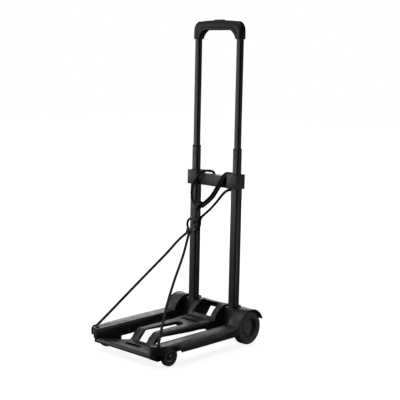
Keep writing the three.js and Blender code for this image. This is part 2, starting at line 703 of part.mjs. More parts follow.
// From the clip over the bar beside the right collar, down behind it, and back under it to the crimp.
const LOOP_RIGHT = [
  [-24, -34, 405], [-7, -30, 419], [10.5, -26, 436], [24.5, -23.5, 456.5], [34, -22.5, 471.5],
  [42, -22, 483.5], [50, -22, 494.5], [55.5, -19, 507.5], [57, -9, 514], [57.5, 3, 514],
  [58, 15, 510.5], [58, 20.5, 499], [58, 20.5, 480], [58, 15, 465.5], [58, 3, 464], [57.3, -10, 463.5],
  [50, -20, 454.5], [34, -25, 433.5], [12, -28, 409], [-8, -28, 391.5], [-22, -28, 380.5],
  [-32, -28, 371.5], [-37.5, -27.5, 361.5], [-38.5, -27, 349.5], [-42, -27, 338], [-48, -29.5, 329.5],
  [-55, -33.5, 325.5], [-63, -38, 325.5],
];

const CLIP = { top: [-29, -34, 419], bottom: [-43, -36, 398], radius: 10 };
const CRIMP = { top: [-69.5, -42.5, 331], bottom: [-71.8, -45, 317.5], radius: 9.5 };
const HOOK_WIRE = 2.6;

// The upper hook: a long wire loop that hangs from the clip.
const HOOK_UPPER = [
  [-42, -36, 402], [-46.5, -36, 394], [-48, -36, 386], [-48, -36, 374], [-52, -36, 363],
  [-57, -36, 355], [-56, -36, 347.5], [-49.5, -36, 345.5], [-43.5, -36, 350], [-38.5, -36, 360],
  [-33.5, -36, 372], [-31.5, -36, 386], [-33, -36, 396], [-36, -36, 404],
];

// The lower hook: a round ring in front of the upper one.
const RING = { x: -55, y: -44, z: 347.3, halfWidth: 21.5, halfHeight: 20.5, wire: 3.4 };

// Holds the left strand on the arm's front corner.
const CORNER_HOOK_RADIUS = 3;
const CORNER_HOOK = [
  [-131.5, -364.5, 71], [-135.5, -369, 70.6], [-139.3, -373, 67.8], [-141, -374.8, 61],
  [-141, -374.8, 50], [-141, -374.8, 44],
];

function ring() {
  const torus = new THREE.TorusGeometry(1, RING.wire / RING.halfWidth, 6, 20);
  torus.scale(RING.halfWidth, RING.halfHeight, RING.halfWidth).rotateX(Math.PI / 2);
  return outward(solid(torus.translate(RING.x, RING.y, RING.z)));
}

function barrel({ top, bottom, radius }, grow) {
  return rod(top, bottom, radius + grow, 12);
}

function buildCord() {
  const clip = barrel(CLIP, GAP);
  const crimp = barrel(CRIMP, GAP);
  const cornerHook = swept(route(CORNER_HOOK), CORNER_HOOK_RADIUS, 8, 8);
  const cornerSpace = swept(route(CORNER_HOOK), CORNER_HOOK_RADIUS + GAP, 8, 8);
  add("cord_strand_left", cordTube(STRAND_LEFT, 12).subtract(crimp).subtract(cornerSpace), CORD_FABRIC);
  add("cord_strand_right", cordTube(STRAND_RIGHT, 26).subtract(crimp), CORD_FABRIC);
  add("cord_loop_left", cordTube(LOOP_LEFT, 32).subtract(clip), CORD_FABRIC);
  add("cord_loop_right", cordTube(LOOP_RIGHT, 34).subtract(clip).subtract(crimp), CORD_FABRIC);
  add("cord_clip", barrel(CLIP, 0), HOOK_PLASTIC);
  add("strand_crimp", barrel(CRIMP, 0), HOOK_PLASTIC);
  add("hook_upper", swept(route(HOOK_UPPER), HOOK_WIRE, 6, 18).subtract(clip), HOOK_PLASTIC);
  add("hook_lower", ring().subtract(crimp), HOOK_PLASTIC);
  add("corner_hook", cornerHook, HOOK_PLASTIC);
}

buildMast();
buildMiddleStage();
buildUpperStage();
buildPlatform();
buildWheels();
buildCord();

export default luggageCart;
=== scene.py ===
"""Looks of a folding luggage cart: satin black mast, moulded platform on four wheels, elastic cord."""

import json
import math

import bmesh
import bpy
from mathutils import Matrix, Vector


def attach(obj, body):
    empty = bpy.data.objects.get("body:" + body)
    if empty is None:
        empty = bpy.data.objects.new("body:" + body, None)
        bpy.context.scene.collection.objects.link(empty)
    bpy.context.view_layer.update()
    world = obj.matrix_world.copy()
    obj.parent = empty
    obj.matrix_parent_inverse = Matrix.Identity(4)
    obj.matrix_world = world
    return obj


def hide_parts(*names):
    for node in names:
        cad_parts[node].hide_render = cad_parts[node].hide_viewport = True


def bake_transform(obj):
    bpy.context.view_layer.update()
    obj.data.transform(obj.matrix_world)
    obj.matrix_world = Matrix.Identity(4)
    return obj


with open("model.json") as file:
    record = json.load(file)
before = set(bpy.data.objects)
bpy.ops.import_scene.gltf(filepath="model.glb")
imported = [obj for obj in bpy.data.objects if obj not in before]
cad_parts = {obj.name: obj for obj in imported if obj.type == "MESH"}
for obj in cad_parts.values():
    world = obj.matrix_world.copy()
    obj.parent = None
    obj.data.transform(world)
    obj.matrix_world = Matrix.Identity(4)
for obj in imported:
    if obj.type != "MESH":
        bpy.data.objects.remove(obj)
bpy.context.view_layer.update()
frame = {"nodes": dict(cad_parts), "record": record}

MM = 0.001
AXLE_Y = 164.6  # millimetres; every shape below is drawn from the axle, as in the CAD source
AXLE_Z = 50.0
TUBE_X = 84.0
SIDES = ("right", "left")


def place(point):
    """A point in millimetres from the axle's middle and the floor, in the frame's metres."""
    x, y, z = point
    return Vector((x * MM, (y + AXLE_Y) * MM, z * MM))


# ---- Camera ------------------------------------------------------------------------------------

CAMERA_AT = Vector((1.97541, -2.02873, 0.85887))
CAMERA_YAW, CAMERA_PITCH, CAMERA_ROLL = (math.radians(a) for a in (42.94, -8.35, 1.17))
SENSOR_WIDTH, LENS = 36.0, 87.0  # millimetres


def add_camera():
    data = bpy.data.cameras.new("camera")
    data.sensor_width = SENSOR_WIDTH
    data.lens = LENS
    camera = bpy.data.objects.new("camera", data)
    bpy.context.scene.collection.objects.link(camera)
    ahead = Vector((
        -math.sin(CAMERA_YAW) * math.cos(CAMERA_PITCH),
        math.cos(CAMERA_YAW) * math.cos(CAMERA_PITCH),
        math.sin(CAMERA_PITCH),
    ))
    level = Vector((math.cos(CAMERA_YAW), math.sin(CAMERA_YAW), 0.0))
    above = level.cross(ahead)
    right = math.cos(CAMERA_ROLL) * level + math.sin(CAMERA_ROLL) * above
    up = math.cos(CAMERA_ROLL) * above - math.sin(CAMERA_ROLL) * level
    turn = Matrix((right, up, -ahead)).transposed().to_4x4()
    camera.matrix_world = Matrix.Translation(CAMERA_AT) @ turn
    bpy.context.scene.camera = camera


add_camera()

# ---- Node materials ------------------------------------------------------------------------------


class Look:
    """Builds one material: a Principled shader fed by noise in object space, in millimetres."""

    def __init__(self, name, color, roughness, metallic=0.0, specular=0.5):
        self.material = bpy.data.materials.new(name)
        self.material.use_nodes = True
        self.tree = self.material.node_tree
        self.shader = self.tree.nodes["Principled BSDF"]
        self.shader.inputs["Base Color"].default_value = (*color, 1.0)
        self.shader.inputs["Roughness"].default_value = roughness
        self.shader.inputs["Metallic"].default_value = metallic
        self.shader.inputs["Specular IOR Level"].default_value = specular
        coordinates = self.node("ShaderNodeTexCoord")
        scaled = self.node("ShaderNodeVectorMath", operation="SCALE")
        scaled.inputs["Scale"].default_value = 1.0 / MM
        self.link(coordinates.outputs["Object"], scaled.inputs[0])
        self.point = scaled.outputs["Vector"]
        self.uv = coordinates.outputs["UV"]
        self.last_normal = None

    def node(self, kind, **settings):
        made = self.tree.nodes.new(kind)
        for name, value in settings.items():
            setattr(made, name, value)
        return made

    def link(self, output, socket):
        self.tree.links.new(output, socket)

    def stretched(self, scale):
        mapping = self.node("ShaderNodeMapping")
        mapping.inputs["Scale"].default_value = scale
        self.link(self.point, mapping.inputs["Vector"])
        return mapping.outputs["Vector"]

    def noise(self, size, detail=4.0, stretch=None):
        """Noise whose features are about size millimetres across."""
        made = self.node("ShaderNodeTexNoise")
        made.inputs["Scale"].default_value = 1.0 / size
        made.inputs["Detail"].default_value = detail
        self.link(self.stretched(stretch) if stretch else self.point, made.inputs["Vector"])
        return made.outputs["Fac"]

    def ranged(self, value, low, high, from_low=0.3, from_high=0.7):
        """The value moved from one range to another; most noise lies between 0.3 and 0.7."""
        made = self.node("ShaderNodeMapRange")
        made.inputs["From Min"].default_value = from_low
        made.inputs["From Max"].default_value = from_high
        made.inputs["To Min"].default_value = low
        made.inputs["To Max"].default_value = high
        self.link(value, made.inputs["Value"])
        return made.outputs["Result"]

    def math(self, operation, a, b):
        made = self.node("ShaderNodeMath", operation=operation)
        for socket, value in zip(made.inputs, (a, b)):
            if isinstance(value, (int, float)):
                socket.default_value = value
            else:
                self.link(value, socket)
        return made.outputs["Value"]

    def color(self, factor, low, high):
        """A base colour between two colours; the Mix node's colour sockets are 6, 7 and 2."""
        made = self.node("ShaderNodeMix", data_type="RGBA")
        made.inputs[6].default_value = (*low, 1.0)
        made.inputs[7].default_value = (*high, 1.0)
        self.link(factor, made.inputs[0])
        self.link(made.outputs[2], self.shader.inputs["Base Color"])

    def roughness(self, value):
        self.link(value, self.shader.inputs["Roughness"])

    def bump(self, height, depth_mm):
        made = self.node("ShaderNodeBump")
        made.inputs["Strength"].default_value = 1.0
        made.inputs["Distance"].default_value = depth_mm * MM
        self.link(height, made.inputs["Height"])
        if self.last_normal is not None:
            self.link(self.last_normal, made.inputs["Normal"])
        self.last_normal = made.outputs["Normal"]
        self.link(self.last_normal, self.shader.inputs["Normal"])


def moulded_look(name, dark, light, rough, grain=0.018, specular=0.5):
    """Moulded plastic: a fine eroded grain, faint flow clouds and a few rubbed patches."""
    look = Look(name, dark, rough, specular=specular)
    clouds = look.noise(45.0, 3.0)
    rubs = look.noise(7.0, 6.0, (1.0, 0.35, 1.0))
    look.color(look.ranged(look.math("MULTIPLY", clouds, rubs), 0.0, 1.0, 0.18, 0.42), dark, light)
    look.roughness(look.ranged(rubs, rough - 0.07, rough + 0.07))
    look.bump(look.noise(0.9, 3.0), grain)
    look.bump(look.noise(30.0, 2.0), 0.25)
    return look.material


def paint_look():
    """Powder coat on steel tube: a fine orange peel with thin vertical rub marks."""
    look = Look("tube_paint", (0.011, 0.011, 0.012), 0.34)
    streaks = look.noise(2.2, 5.0, (1.0, 1.0, 0.02))
    clouds = look.noise(60.0, 2.0)
    look.color(look.ranged(clouds, 0.0, 1.0), (0.010, 0.010, 0.011), (0.016, 0.016, 0.017))
    look.roughness(look.ranged(streaks, 0.29, 0.42))
    look.bump(look.noise(1.6, 2.0), 0.012)
    return look.material


def rubber_look():
    """Tyre rubber with a thin film of dust."""
    look = Look("tyre_rubber", (0.012, 0.012, 0.012), 0.72, specular=0.35)
    dust = look.noise(9.0, 6.0)
    dusty = look.ranged(dust, 0.0, 1.0, 0.45, 0.75)
    look.color(dusty, (0.060, 0.060, 0.060), (0.095, 0.093, 0.091))
    look.roughness(look.ranged(dust, 0.62, 0.82))
    look.bump(look.noise(0.5, 3.0), 0.03)
    return look.material


def steel_look():
    """Black zinc on turned steel, with fine rings round the X axis."""
    look = Look("black_zinc_steel", (0.09, 0.09, 0.095), 0.38, metallic=1.0)
    turning = look.noise(0.7, 4.0, (0.08, 1.0, 1.0))
    look.color(look.ranged(look.noise(5.0), 0.0, 1.0), (0.06, 0.06, 0.065), (0.13, 0.13, 0.135))
    look.roughness(look.ranged(turning, 0.28, 0.48))
    look.bump(turning, 0.006)
    return look.material


BRAID_CARRIERS = 8  # ribs round the cord
BRAID_PITCH = 0.0085  # metres along the cord for one whole turn of a rib


def braid_look():
    """A braided sheath: two families of ribs cross, in UVs of turns round and metres along."""
    look = Look("cord_braid", (0.010, 0.010, 0.011), 0.78, specular=0.3)
    split = look.node("ShaderNodeSeparateXYZ")
    look.link(look.uv, split.inputs[0])
    around = look.math("MULTIPLY", split.outputs["X"], BRAID_CARRIERS)
    along = look.math("MULTIPLY", split.outputs["Y"], BRAID_CARRIERS / BRAID_PITCH)
    ribs = []
    for operation in ("ADD", "SUBTRACT"):
        phase = look.math("MULTIPLY", look.math(operation, around, along), 2.0 * math.pi)
        ribs.append(look.math("SINE", phase, 0.0))
    weave = look.math("MAXIMUM", ribs[0], ribs[1])
    # Painted shade: the base colour follows the weave's height, darker in the valleys between the ribs and
    # lighter on their crests.
    look.color(look.ranged(weave, 0.0, 1.0, -0.2, 1.0), (0.005, 0.005, 0.006), (0.020, 0.020, 0.021))
    look.roughness(look.ranged(look.noise(1.2), 0.7, 0.86))
    look.bump(look.ranged(weave, 0.0, 1.0, -1.0, 1.0), 0.22)
    look.bump(look.noise(0.25, 2.0), 0.03)
    look.shader.inputs["Sheen Weight"].default_value = 0.12
    look.shader.inputs["Sheen Roughness"].default_value = 0.4
    return look.material


PAINT = paint_look()
DECK = moulded_look("deck_plastic", (0.010, 0.010, 0.011), (0.017, 0.017, 0.018), 0.42, 0.03)
FRAME_MOULD = moulded_look("frame_plastic", (0.012, 0.012, 0.013), (0.018, 0.018, 0.019), 0.42)
GRIP_MOULD = moulded_look(
    "grip_plastic", (0.007, 0.007, 0.008), (0.013, 0.013, 0.014), 0.42, specular=0.35
)
BUTTON_MOULD = moulded_look("button_plastic", (0.022, 0.022, 0.023), (0.034, 0.034, 0.035), 0.36)
WHEEL_MOULD = moulded_look("wheel_plastic", (0.060, 0.060, 0.062), (0.090, 0.090, 0.092), 0.38)
HOOK_MOULD = moulded_look("hook_plastic", (0.008, 0.008, 0.009), (0.013, 0.013, 0.014), 0.38)
RUBBER = rubber_look()
STEEL = steel_look()
BRAID = braid_look()

# ---- Mesh helpers --------------------------------------------------------------------------------


def finish_piece(name, mesh, look, body, node, smooth):
    """A mesh piece that rides on a body, unless body is None, and stands for a CAD node."""
    mesh.validate()
    mesh.update()
    mesh.shade_smooth()
    mesh.set_sharp_from_angle(angle=math.radians(smooth))
    mesh.materials.clear()
    mesh.materials.append(look)
    piece = bpy.data.objects.new(name, mesh)
    bpy.context.scene.collection.objects.link(piece)
    if body is not None:
        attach(piece, body)
    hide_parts(node)
    return piece


def tube_along(path, radius, sides, closed):
    """Vertices, faces and UVs of a round tube along metre points.

    The UVs are turns round the tube and metres along it.
    """
    points = [Vector(p) for p in path]
    count = len(points)
    tangents = []
    for i in range(count):
        before = points[i - 1] if closed or i > 0 else points[i]
        after = points[(i + 1) % count] if closed or i < count - 1 else points[i]
        tangents.append((after - before).normalized())
    normal = tangents[0].orthogonal().normalized()
    lengths = [0.0]
    frames = []
    for i in range(count):
        normal = (normal - tangents[i] * normal.dot(tangents[i])).normalized()
        frames.append((normal.copy(), tangents[i].cross(normal)))
        if i:
            lengths.append(lengths[-1] + (points[i] - points[i - 1]).length)
    vertices = []
    for i in range(count):
        for k in range(sides):
            turn = 2.0 * math.pi * k / sides
            vertices.append(
                points[i] + radius * (math.cos(turn) * frames[i][0] + math.sin(turn) * frames[i][1])
            )
    faces = []
    uvs = []
    for i in range(count if closed else count - 1):
        j = (i + 1) % count
        for k in range(sides):
            m = (k + 1) % sides
            faces.append((i * sides + k, i * sides + m, j * sides + m, j * sides + k))
            top = lengths[j] if j else lengths[-1] + (points[0] - points[-1]).length
            uvs.append([(k / sides, lengths[i]), ((k + 1) / sides, lengths[i]),
                        ((k + 1) / sides, top), (k / sides, top)])
    if not closed:
        for ring in (0, count - 1):
            corners = tuple(ring * sides + k for k in range(sides))
            faces.append(corners[::-1] if ring == 0 else corners)
            uvs.append([(0.0, lengths[ring])] * sides)
    return vertices, faces, uvs


def smooth_path(points, step_mm):
    """A centripetal Catmull-Rom curve through millimetre points, sampled about every step, in metres."""
    pts = [place(p) for p in points]
    pts = [2 * pts[0] - pts[1]] + pts + [2 * pts[-1] - pts[-2]]
    path = []
    for i in range(1, len(pts) - 2):
        p0, p1, p2, p3 = pts[i - 1 : i + 3]
        t = [0.0]
        for a, b in ((p0, p1), (p1, p2), (p2, p3)):
            t.append(t[-1] + math.sqrt((b - a).length))
        steps = max(2, round((p2 - p1).length / (step_mm * MM)))
        for k in range(steps):
            s = t[1] + (t[2] - t[1]) * k / steps
            a1 = p0.lerp(p1, (s - t[0]) / (t[1] - t[0]))
            a2 = p1.lerp(p2, (s - t[1]) / (t[2] - t[1]))
            a3 = p2.lerp(p3, (s - t[2]) / (t[3] - t[2]))
            b1 = a1.lerp(a2, (s - t[0]) / (t[2] - t[0]))
            b2 = a2.lerp(a3, (s - t[1]) / (t[3] - t[1]))
            path.append(b1.lerp(b2, (s - t[1]) / (t[2] - t[1])))
    path.append(pts[-2])
    return path


def tube_piece(name, path, radius_mm, sides, look, body, node, closed=False):
    """A round tube as a piece, with its UVs."""
    vertices, faces, uvs = tube_along(path, radius_mm * MM, sides, closed)
    mesh = bpy.data.meshes.new(name)
    mesh.from_pydata([tuple(v) for v in vertices], [], faces)
    layer = mesh.uv_layers.new(name="UVMap")
    for polygon, corners in zip(mesh.polygons, uvs):
        for loop, uv in zip(polygon.loop_indices, corners):
            layer.data[loop].uv = uv
    return finish_piece(name, mesh, look, body, node, 50.0)


# ---- Elastic cord --------------------------------------------------------------------------------

CORD_RADIUS = 4.0

STRAND_LEFT = [
    (-132, -364, 71.8), (-128.5, -335, 92.5), (-118.5, -262, 147.5), (-107.5, -189, 203),
    (-96, -117, 258), (-86.5, -66, 301), (-75.5, -47.5, 319),
]
STRAND_RIGHT = [
    (129.4, -368, 54), (128, -366.2, 63), (124.2, -361, 71), (106.5, -336, 91), (57, -264, 147),
    (15, -192, 203), (-27.5, -112, 262), (-67.5, -45.5, 318.5),
]
LOOP_LEFT = [
    (-44, -33, 410), (-56, -33, 414), (-66, -32.5, 423), (-71, -32, 437), (-71.5, -31.5, 453),
    (-67, -30.5, 471), (-56, -28, 491), (-46, -22, 506), (-39, -9, 514), (-32, 4, 514),
    (-26, 15, 510.5), (-22, 19.5, 499), (-14, 20.5, 488), (6, 21, 483), (28, 20.5, 487), (40, 20, 499),
    (45.5, 15, 510.5), (47.5, 3, 514), (47.5, -9, 514), (46, -19, 508), (41, -22, 497.2),
    (33.9, -22, 487), (26.6, -22.5, 476), (17.3, -23.5, 461.1), (3.1, -26, 441), (-14.1, -30, 424.2),
    (-30, -33, 412),
]
LOOP_RIGHT = [
    (-24, -34, 405), (-7, -30, 419), (10.5, -26, 436), (24.5, -23.5, 456.5), (34, -22.5, 471.5),
    (42, -22, 483.5), (50, -22, 494.5), (55.5, -19, 507.5), (57, -9, 514), (57.5, 3, 514),
    (58, 15, 510.5), (58, 20.5, 499), (58, 20.5, 480), (58, 15, 465.5), (58, 3, 464), (57.3, -10, 463.5),
    (50, -20, 454.5), (34, -25, 433.5), (12, -28, 409), (-8, -28, 391.5), (-22, -28, 380.5),
    (-32, -28, 371.5), (-37.5, -27.5, 361.5), (-38.5, -27, 349.5), (-42, -27, 338), (-48, -29.5, 329.5),
    (-55, -33.5, 325.5), (-63, -38, 325.5),
]
CLIP_TOP, CLIP_BOTTOM, CLIP_RADIUS = (-29, -34, 419), (-43, -36, 398), 10.0
CLIP_WIRE, CLIP_TURNS = 2.4, 5.2
CRIMP_TOP, CRIMP_BOTTOM, CRIMP_RADIUS = (-69.5, -42.5, 331), (-71.8, -45, 317.5), 9.5
CRIMP_WIRE, CRIMP_TURNS = 2.2, 3.1
CORD_STEP = 2.2  # between points of a cord's path
HOOK_WIRE = 2.9
HOOK_UPPER = [
    (-42, -36, 402), (-46.5, -36, 394), (-48, -36, 386), (-48, -36, 374), (-52, -36, 363),
    (-57, -36, 355), (-56, -36, 347.5), (-49.5, -36, 345.5), (-43.5, -36, 350), (-38.5, -36, 360),
    (-33.5, -36, 372), (-31.5, -36, 386), (-33, -36, 396), (-36, -36, 404),
]
RING_AT, RING_HALF_WIDTH, RING_HALF_HEIGHT, RING_WIRE = (-55, -44, 347.3), 21.5, 20.5, 3.7
RING_STEPS = 48
CORNER_HOOK_RADIUS = 3.0
CORNER_HOOK = [
    (-131.5, -364.5, 71), (-135.5, -369, 70.6), (-139.3, -373, 67.8), (-141, -374.8, 61),
    (-141, -374.8, 50), (-141, -374.8, 44),
]


def winding(top, bottom, radius, wire, turns):
    """Points of a close helix round the line from top to bottom."""
    a, b = place(top), place(bottom)
    along = (b - a).normalized()
    across = along.orthogonal().normalized()
    other = along.cross(across)
    path = []
    steps = int(turns * 20)
    for i in range(steps + 1):
        turn = 2.0 * math.pi * turns * i / steps
        centre = a.lerp(b, i / steps)
        path.append(centre + (radius - wire) * MM * (math.cos(turn) * across + math.sin(turn) * other))
    return path


def hook_part(name, path, wire, sides, body, node, closed=False):
    return tube_piece(name, path, wire, sides, HOOK_MOULD, body, node, closed)


def ring_path():
    x, y, z = RING_AT
    oval = []
    for i in range(RING_STEPS):
        turn = 2.0 * math.pi * i / RING_STEPS
        oval.append(place((x + RING_HALF_WIDTH * math.cos(turn), y, z + RING_HALF_HEIGHT * math.sin(turn))))
    return oval


def make_cord():
    clip_path = winding(CLIP_TOP, CLIP_BOTTOM, CLIP_RADIUS, CLIP_WIRE, CLIP_TURNS)
    clip = hook_part("cord_clip_coil", clip_path, CLIP_WIRE, 12, "mast", "cord_clip")
    crimp_path = winding(CRIMP_TOP, CRIMP_BOTTOM, CRIMP_RADIUS, CRIMP_WIRE, CRIMP_TURNS)
    crimp = hook_part("strand_crimp_coil", crimp_path, CRIMP_WIRE, 12, "mast", "strand_crimp")
    upper = hook_part("hook_upper_wire", smooth_path(HOOK_UPPER, 2.0), HOOK_WIRE, 12, "mast", "hook_upper")
    ring = hook_part("hook_lower_ring", ring_path(), RING_WIRE, 12, "mast", "hook_lower", True)
    corner_path = smooth_path(CORNER_HOOK, 1.5)
    hook_part("corner_hook_bent", corner_path, CORNER_HOOK_RADIUS, 14, "platform", "corner_hook")
    cords = {
        "cord_strand_left": (STRAND_LEFT, "taut", [crimp, ring]),
        "cord_strand_right": (STRAND_RIGHT, "taut", []),
        "cord_loop_left": (LOOP_LEFT, "hanging", [clip]),
        "cord_loop_right": (LOOP_RIGHT, "hanging", [upper]),
    }
    for node, (points, lay, riders) in cords.items():
        path = smooth_path(points, CORD_STEP)
        blended = lay == "taut"  # the strands span the fold; the loops hang on the mast
        piece = tube_piece(
            node + "_braid", path, CORD_RADIUS, 16, BRAID, None if blended else "mast",
            node,
        )
        if blended:
            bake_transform(piece)


make_cord()

# ---- Building blocks -------------------------------------------------------------------------------


def mesh_of(vertices, faces):
    mesh = bpy.data.meshes.new("draft")
    mesh.from_pydata([tuple(v) for v in vertices], [], faces)
    return mesh


def modified(mesh, kind, **settings):
    """The mesh after one modifier."""
    draft = bpy.data.objects.new("draft", mesh)
    bpy.context.scene.collection.objects.link(draft)
    modifier = draft.modifiers.new("draft", kind)
    for name, value in settings.items():
        setattr(modifier, name, value)
    graph = bpy.context.evaluated_depsgraph_get()
    result = bpy.data.meshes.new_from_object(draft.evaluated_get(graph))
    bpy.data.objects.remove(draft)
    return result


def without(mesh, cutter):
    """The mesh with a closed cutter mesh taken out of it."""
    tool = bpy.data.objects.new("cutter", cutter)
    bpy.context.scene.collection.objects.link(tool)
    result = modified(mesh, "BOOLEAN", operation="DIFFERENCE", object=tool, solver="EXACT")
    bpy.data.objects.remove(tool)
    return result


def joined(meshes):
    """One mesh that holds them all."""
    bm = bmesh.new()
    for mesh in meshes:
        bm.from_mesh(mesh)
    result = bpy.data.meshes.new("joined")
    bm.to_mesh(result)
    bm.free()
    return result


def loft(rings, closed=False, caps=False):
    """Vertices and faces through rings of points; closed joins the last ring to the first."""
    sides = len(rings[0])
    vertices = [p for ring in rings for p in ring]
    faces = []
    for i in range(len(rings) if closed else len(rings) - 1):
        j = (i + 1) % len(rings)
        for k in range(sides):
            m = (k + 1) % sides
            faces.append((i * sides + k, i * sides + m, j * sides + m, j * sides + k))
    if caps:
        last = (len(rings) - 1) * sides
        faces.append(tuple(range(sides))[::-1])
        faces.append(tuple(last + k for k in range(sides)))
    return vertices, faces


def lathe(profile, y, z, segments=96):
    """A closed profile of (radius, x) turned about a line along X."""
    rings = []
    for i in range(segments):
        turn = 2.0 * math.pi * i / segments
        rings.append(
            [place((x, y + radius * math.sin(turn), z + radius * math.cos(turn))) for radius, x in profile]
        )
    return mesh_of(*loft(rings, closed=True))


def mirror(mesh):
    """The mesh on the other side of the middle plane, with its faces turned to match."""
    copy = mesh.copy()
    copy.transform(Matrix.Diagonal((-1.0, 1.0, 1.0, 1.0)))
    copy.flip_normals()
    return copy


def add_sides(name, mesh, look, body, node, smooth=35.0):
    """The right-hand piece and its mirror image; body may hold {side}."""
    for side in SIDES:
        finish_piece(
            f"{name}_{side}", mesh if side == "right" else mirror(mesh), look,
            body.format(side=side), f"{node}_{side}", smooth,
        )


# ---- Mast tubes ----------------------------------------------------------------------------------

CORNER_STEPS = 8
TUBE_RIM = 0.35  # the broken edge at a tube's ends
DISC_SEGMENTS, EDGE_STEPS = 48, 6


def tube_outline(width, depth, corner, crown=0.0, groove=0.0, grow=0.0):
    """A rounded oblong in (x, y) about the tube's middle, with a crowned front and back.

    The crown falls away towards the corners, and a groove runs down the middle of each side.
    """
    half_x, half_y, radius = width / 2 + grow, depth / 2 + grow, corner + grow
    outline = []
    for quarter, (sx, sy) in enumerate(((1, -1), (1, 1), (-1, 1), (-1, -1))):
        for i in range(CORNER_STEPS + 1):
            turn = math.radians(-90 + 90 * quarter + 90 * i / CORNER_STEPS)
            outline.append((
                sx * (half_x - radius) + radius * math.cos(turn),
                sy * (half_y - radius) + radius * math.sin(turn),
            ))
        if quarter in (0, 2):
            for y, dip in ((-1.0, 0), (-0.45, 1), (0.45, 1), (1.0, 0)):
                outline.append((sx * (half_x - dip * groove), sx * y))
        else:
            for x in (-0.75, -0.5, -0.25, 0.0, 0.25, 0.5, 0.75):
                outline.append((-sy * x * (half_x - radius), sy * half_y))
    return [(x, y * (1.0 - crown / half_y * (x / half_x) ** 2)) for x, y in outline]


def tube_mesh(width, depth, corner, wall, bottom, top, crown=1.0, groove=0.5):
    """A crowned tube with broken edges on its rims and a plain bore."""
    outside = [(bottom + TUBE_RIM, 0), (top - TUBE_RIM, 0), (top, -TUBE_RIM)]
    inside_and_foot = [(top, -wall), (bottom, -wall), (bottom, -TUBE_RIM)]
    rings = []
    for z, grow in outside + inside_and_foot:
        inside = grow <= -wall
        shape = tube_outline(width, depth, corner, 0 if inside else crown, 0 if inside else groove, grow)
        rings.append([place((TUBE_X + x, y, z)) for x, y in shape])
    return mesh_of(*loft(rings, closed=True))


def disc_mesh(radius, front, back, x, z, edge=0.0, dome=0.0):
    """A disc along Y with an optional rounded or domed front."""
    profile = [(radius, back)]
    for i in range(EDGE_STEPS + 1):
        turn = math.pi / 2 * i / EDGE_STEPS
        profile.append((radius - edge * (1 - math.cos(turn)), front + edge * (1 - math.sin(turn))))
    for share in (0.75, 0.5, 0.25):
        profile.append(((radius - edge) * share, front - dome * (1 - share * share)))
    turns = [2 * math.pi * k / DISC_SEGMENTS for k in range(DISC_SEGMENTS)]
    rings = [
        [place((x + r * math.cos(turn), y, z + r * math.sin(turn))) for turn in turns] for r, y in profile
    ]
    return mesh_of(*loft(rings, caps=True))


# Each tube: width, depth, corner radius, wall, bottom and top.
OUTER = (29.0, 25.5, 5.5, 1.4, 74.0, 511.0)
MIDDLE = (23.5, 20.3, 4.8, 1.2, 410.0, 586.0)
UPPER = (19.3, 16.3, 3.9, 1.1, 548.0, 945.0)
SNAP_Z = 570.0
LOCK_Z = 496.0
PIN_RADIUS = 3.8
PIN_CLEARANCE = 0.3


def front_hole(z):
    """A cutter through a tube's front wall."""
    return disc_mesh(PIN_RADIUS + PIN_CLEARANCE, -20.0, 0.0, TUBE_X, z)


def make_tubes():
    hole = front_hole(SNAP_Z)
    middle = without(tube_mesh(*MIDDLE, crown=0.8, groove=0.4), hole)
    middle = without(middle, front_hole(LOCK_Z))
    add_sides("outer_tube_drawn", tube_mesh(*OUTER), PAINT, "mast", "outer_tube", 30)
    add_sides("middle_tube_drawn", middle, PAINT, "middle_stage", "middle_tube", 30)
    add_sides("upper_tube_drawn", without(tube_mesh(*UPPER, crown=0.7, groove=0.4), hole), PAINT,
              "upper_stage", "upper_tube", 30)
    button = disc_mesh(PIN_RADIUS, -11.0, -0.9, TUBE_X, SNAP_Z, edge=0.9, dome=0.2)
    add_sides("snap_button_domed", button, BUTTON_MOULD, "snap_{side}", "snap_button")
    pin = disc_mesh(PIN_RADIUS, -12.2, -8.5, TUBE_X, LOCK_Z, edge=0.8, dome=0.2)
    add_sides("middle_lock_pin_domed", pin, STEEL, "middle_pin_{side}", "middle_lock_pin")


def collar_mesh(inner, rings):
    """A ring round a tube, through (z, outline) pairs, open for the inner outline."""
    lowest, highest = rings[0][0], rings[-1][0]
    run = [(lowest, inner)] + rings + [(highest, inner)]
    points = [[place((TUBE_X + x, y, z)) for x, y in shape] for z, shape in run]
    return mesh_of(*loft(points, closed=True))


def make_ferrules():
    width, depth, corner = MIDDLE[:3]
    gap = tube_outline(*UPPER[:3], grow=0.3)
    rings = [
        (586.3, tube_outline(width, depth, corner, grow=-0.2)),
        (586.6, tube_outline(width, depth, corner)),
        (588.3, tube_outline(width, depth, corner)),
        (589.2, tube_outline(width, depth, corner, grow=-0.35)),
        (591.4, tube_outline(width, depth, corner, grow=-1.2)),
        (591.9, tube_outline(width, depth, corner, grow=-1.55)),
        (592.0, tube_outline(*UPPER[:3], grow=0.5)),
    ]
    add_sides("middle_ferrule_tapered", collar_mesh(gap, rings), FRAME_MOULD, "middle_stage",
              "middle_ferrule")


make_tubes()
make_ferrules()

# ---- Grip ----------------------------------------------------------------------------------------

GRIP_HALF, GRIP_LEG_INNER, GRIP_DEPTH = 96, 72.5, 25.0
GRIP_BOTTOM, GRIP_UNDER, GRIP_SHOULDER = 916.5, 943, 970
UNDER_FROM, UNDER_FLAT = 50.0, 1.45
LINER_THICK, LINER_HALF = 10.0, 79.0
SEAM_GAP = 0.25  # between the two shells
GRIP_TOP = [(69, 969.3), (60, 970.4), (48, 971.3), (34, 972.0), (20, 972.3), (8, 972.4)]


